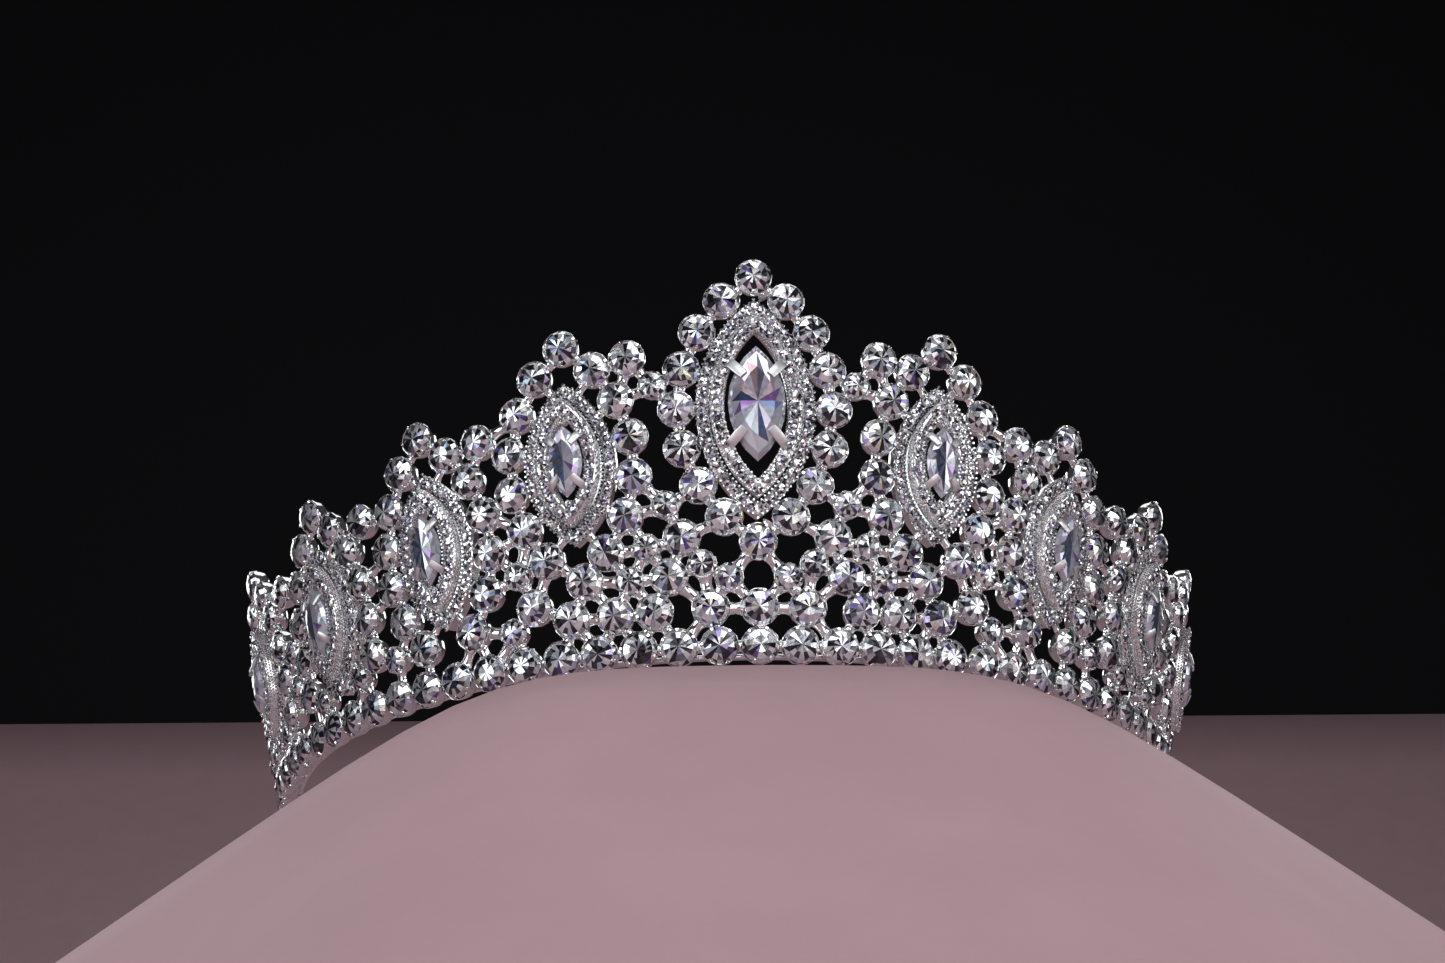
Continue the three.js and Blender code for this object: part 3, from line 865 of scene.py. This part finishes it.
def ties_to_band(pile, motif, sheet):
    """Short bars from the ring's cups in to the band."""
    band = motif["style"]["band"]
    radius, offset, _ = arcs(band)
    for x, y in ring_places(motif):
        away = Vector((abs(x) + offset, y))
        beyond = away.length - radius
        if beyond > TIE_REACH:
            continue
        inward = away.normalized()
        inward.x *= -1 if x > 0 else 1
        inward.y *= -1
        a = sheet.point(x + TIE_START * inward.x, y + TIE_START * inward.y, LINK_LEVEL)
        reach = beyond + TIE_SINK
        b = sheet.point(x + reach * inward.x, y + reach * inward.y, LINK_LEVEL)
        link(pile, a, b, wall_axes(sheet.u)[2], TIE_BAR)


def rail(pile, cups):
    """The stretch of stiffening wire behind a row of base cups."""
    row = [u for u, v, _ in cups if v == BASE_HEIGHT]
    low = (min(row) - BASE_PITCH / 2 + GAP / 2) / BASE_RADIUS
    high = (max(row) + BASE_PITCH / 2 - GAP / 2) / BASE_RADIUS
    middle, half = (RAIL_INNER + RAIL_OUTER) / 2, RAIL_WIRE / 2
    steps = max(4, round((high - low) / RAIL_TURN))
    rings = []
    for i in range(steps + 1):
        angle = low + (high - low) * i / steps
        ring = []
        for j in range(WIRE_SIDES):
            turn = 2 * math.pi * j / WIRE_SIDES
            radius = middle + half * math.cos(turn)
            y = CENTRE_SHIFT_Y - radius * math.cos(angle)
            z = RAIL_LEVEL + half * math.sin(turn)
            ring.append(Vector((radius * math.sin(angle), y, z)))
        rings.append(ring)
    pile.tube(rings)


def end_loop(name, side):
    """A round wire eye, with a short neck to the end of the base row."""
    pile = Pile()
    seat = seat_at(side * LOOP_AT[0], LOOP_AT[1])
    rings = []
    for i in range(LOOP_STEPS):
        angle = 2 * math.pi * i / LOOP_STEPS
        ring = []
        for j in range(WIRE_SIDES):
            turn = 2 * math.pi * j / WIRE_SIDES
            radius = LOOP_RADIUS + LOOP_WIRE * math.cos(turn)
            w = LOOP_MIDDLE + LOOP_WIRE * math.sin(turn)
            ring.append(seat @ Vector((radius * math.cos(angle), radius * math.sin(angle), w)))
        rings.append(ring)
    pile.tube(rings, closed=True)
    last = (side * END_LAST * BASE_PITCH, BASE_HEIGHT)
    past, above = LOOP_NECK_ROOT
    a = wall_point(last[0] + side * past, last[1] + above, LINK_LEVEL)
    back, down = LOOP_NECK_END
    b = seat @ Vector((-side * LOOP_RADIUS * back, -LOOP_RADIUS * down, LOOP_MIDDLE))
    link(pile, a, b, wall_axes(last[0])[2], LOOP_BAR)
    make(f"{name}_wire", pile, CAST, [name], CREASE)


def casting(name, cups, pairs, rng):
    """The cups and bars of one casting."""
    pile = Pile()
    for u, v, size in cups:
        cup(pile, u, v, size, rng.uniform(0, math.pi / 3))
    for owner, first, second in pairs:
        if owner == name:
            link_cups(pile, first, second)
    return pile


def stones_of(name, cups, rng):
    """One object with a round stone in each cup."""
    pile = Pile()
    sparkle = Sparkle(rng, BRIGHT_REFLECTIONS, DARK_REFLECTIONS, ROUND_DARK)
    for u, v, size in cups:
        rhinestone(pile, u, v, size, rng, sparkle)
    make(name, pile, STONE_LOOK)


def marquise(style, sheet, word, rng):
    """A motif's pointed crystal."""
    gem = Pile()
    table, girdle = style["table"], style["girdle"]
    shoulder = girdle + CRYSTAL_SHOULDER * (table - girdle)
    middle, inner = (table - depth for depth in CRYSTAL_TABLE)
    cut = (middle, inner, shoulder, girdle + CRYSTAL_GIRDLE, girdle - CRYSTAL_GIRDLE, style["keel"])
    shine = Painted(rng, PALE, CLEAR, CENTRE_CORE if style is CENTRE else SIDE_CORE)
    edge = oval_edge(style["crystal"])
    pie_stone(gem, sheet.seat(0, 0), edge, cut, STONE_WEDGES, shine, CRYSTAL_RINGS)
    make(f"marquise_{word}", gem, CRYSTAL_LOOK, [f"crystal_{word}"])


def motif_pieces(motif, side, word, cups, pairs, rng):
    """A motif's casting, halo, prongs, pavé, round stones and crystal."""
    style = motif["style"]
    sheet = motif_sheet(motif, side)
    sparkle = Sparkle(rng, BRIGHT_REFLECTIONS, DARK_REFLECTIONS, ROUND_DARK)
    micro = Pile()
    setting = casting(f"frame_{word}", cups, pairs, rng)
    ties_to_band(setting, motif, sheet)
    pave_band(setting, micro, sheet, style["band"], style["band_width"], BAND_BACK, BAND_TOP,
              style["pitch"], sparkle, BAND_GRAINS)
    make(f"motif_setting_{word}", setting, CAST, [f"frame_{word}"], CREASE)

    halo = Pile()
    pave_band(halo, micro, sheet, style["halo"], style["halo_width"], HALO_BACK, HALO_TOP,
              style["pitch"], sparkle, HALO_GRAINS)
    if style is SIDE:
        halo_points(halo, micro, sheet, style, sparkle)
    make(f"halo_setting_{word}", halo, PAVE_CAST, [f"halo_{word}"], CREASE)
    prongs = Pile()
    for sx, sy in ((1, 1), (-1, 1), (1, -1), (-1, -1)):
        prong(prongs, sheet, style, sx, sy)
    make(f"prongs_{word}", prongs, SATIN, crease=CREASE)
    make(f"pave_stones_{word}", micro, MICRO_LOOK)

    own = 2 if motif["valley"] else 1
    stones_of(f"ring_stones_{word}", cups[own:], rng)
    for (u, v, size), node in zip(cups[:own], (f"tip_stone_{word}", f"valley_stone_{word}")):
        gem = Pile()
        rhinestone(gem, u, v, size, rng, sparkle)
        make(f"{node}_cut", gem, STONE_LOOK, [node])
    marquise(style, sheet, word, rng)


def tiara():
    groups = all_groups()
    pairs = near_pairs(groups)
    rng = random.Random(SEED)
    motif_pieces(MOTIFS[0], 1, "centre", groups["frame_centre"], pairs, rng)
    for word, side in (("left", -1), ("right", 1)):
        for i, motif in enumerate(MOTIFS[1:], 1):
            name = f"{word}_{i}"
            motif_pieces(motif, side, name, groups[f"frame_{name}"], pairs, rng)
        end_loop(f"end_loop_{word}", side)
    for name, cups in groups.items():
        if name.startswith("frame_"):
            continue
        pile = casting(name, cups, pairs, rng)
        if not name.startswith("lattice_"):
            rail(pile, cups)
        make(f"{name}_setting", pile, CAST, [name], CREASE)
        stones_of(f"{name}_stones", cups, rng)


# ---- the studio --------------------------------------------------------------------------------


def area_light(name, at, size, power, colour):
    data = bpy.data.lights.new(name, "AREA")
    data.shape = "RECTANGLE"
    data.size, data.size_y = size
    data.energy = power
    data.color = colour
    obj = bpy.data.objects.new(name, data)
    bpy.context.scene.collection.objects.link(obj)
    obj.location = at
    obj.rotation_euler = (LIT_POINT - Vector(at)).to_track_quat("-Z", "Y").to_euler()


def soft_step(x, softness):
    """Zero below zero and x above it, rounded over the given length."""
    if x > 30 * softness:  # past here the two are equal, and exp would overflow
        return x
    return softness * math.log1p(math.exp(x / softness))


def slope(distance, start, steepness, rounding):
    return steepness * soft_step(distance - start, rounding)


def floor_height(x, y):
    """A flat floor with a soft rise under the front of the tiara, swept up far behind it."""
    drop = slope(abs(x), *MOUND_SIDE) + slope(-y, *MOUND_FRONT) + slope(y, *MOUND_BACK)
    rise = soft_step(-drop - FLOOR_LEVEL, MOUND_FOOT)
    sweep = min(slope(y, *SWEEP), SWEEP_HEIGHT)
    return FLOOR_LEVEL + rise + sweep


def stage_mesh(name, points, faces, material):
    mesh = bpy.data.meshes.new(name)
    mesh.from_pydata(points, [], faces)
    mesh.materials.append(material)
    mesh.polygons.foreach_set("use_smooth", [True] * len(mesh.polygons))
    obj = bpy.data.objects.new(name, mesh)
    bpy.context.scene.collection.objects.link(obj)


def grid_faces(rows, columns):
    return [
        [r * columns + c, r * columns + c + 1, (r + 1) * columns + c + 1, (r + 1) * columns + c]
        for r in range(rows - 1) for c in range(columns - 1)
    ]


def plain(name, colour, roughness, grain):
    look = Look(name)
    darker = tuple(0.96 * c for c in colour)
    look.join(look.ramp(look.noise(60), [(0.35, darker), (0.65, colour)]), look.shader.inputs["Base Color"])
    look.set(Roughness=roughness)
    look.bump(look.noise(grain), 0.1, 0.0005)
    return look.material


def floor():
    """A square sheet whose lines are closest together in the middle."""
    shares = [2 * i / (FLOOR_LINES - 1) - 1 for i in range(FLOOR_LINES)]
    ticks = [FLOOR_REACH * math.copysign(abs(t) ** FLOOR_SPREAD, t) for t in shares]
    points = [(x, y, floor_height(x, y)) for y in ticks for x in ticks]
    material = plain("pale_floor", FLOOR_COLOUR, 0.75, 900)
    stage_mesh("floor", points, grid_faces(FLOOR_LINES, FLOOR_LINES), material)


def backdrop():
    corners = [(-1, 0), (1, 0), (1, 1), (-1, 1)]
    points = [(side * BACKDROP_HALF, BACKDROP_AT, top * BACKDROP_TOP) for side, top in corners]
    stage_mesh("backdrop", points, [[0, 1, 2, 3]], plain("dark_backdrop", BACKDROP_COLOUR, 0.9, 300))


def studio():
    world = bpy.data.worlds.new("studio")
    world.use_nodes = True
    world.node_tree.nodes["Background"].inputs["Color"].default_value = (*WORLD_COLOUR, 1)
    bpy.context.scene.world = world
    for light in LIGHTS:
        area_light(*light)


def camera():
    """The photograph's viewpoint: in front of the tiara and below it, looking up."""
    data = bpy.data.cameras.new("camera")
    data.lens, data.sensor_width = CAMERA_LENS, SENSOR_WIDTH
    data.clip_start = 0.01
    obj = bpy.data.objects.new("camera", data)
    bpy.context.scene.collection.objects.link(obj)
    forward = CAMERA_FORWARD.normalized()
    level = CAMERA_RIGHT.normalized()
    above = level.cross(forward)
    right = math.cos(CAMERA_ROLL) * level - math.sin(CAMERA_ROLL) * above
    up = math.cos(CAMERA_ROLL) * above + math.sin(CAMERA_ROLL) * level
    axes = Matrix((right, up, -forward)).transposed().to_4x4()
    obj.matrix_world = Matrix.Translation(CAMERA_AT) @ axes
    bpy.context.scene.camera = obj


tiara()
floor()
backdrop()
studio()
camera()
bpy.context.scene.view_settings.view_transform = "Standard"
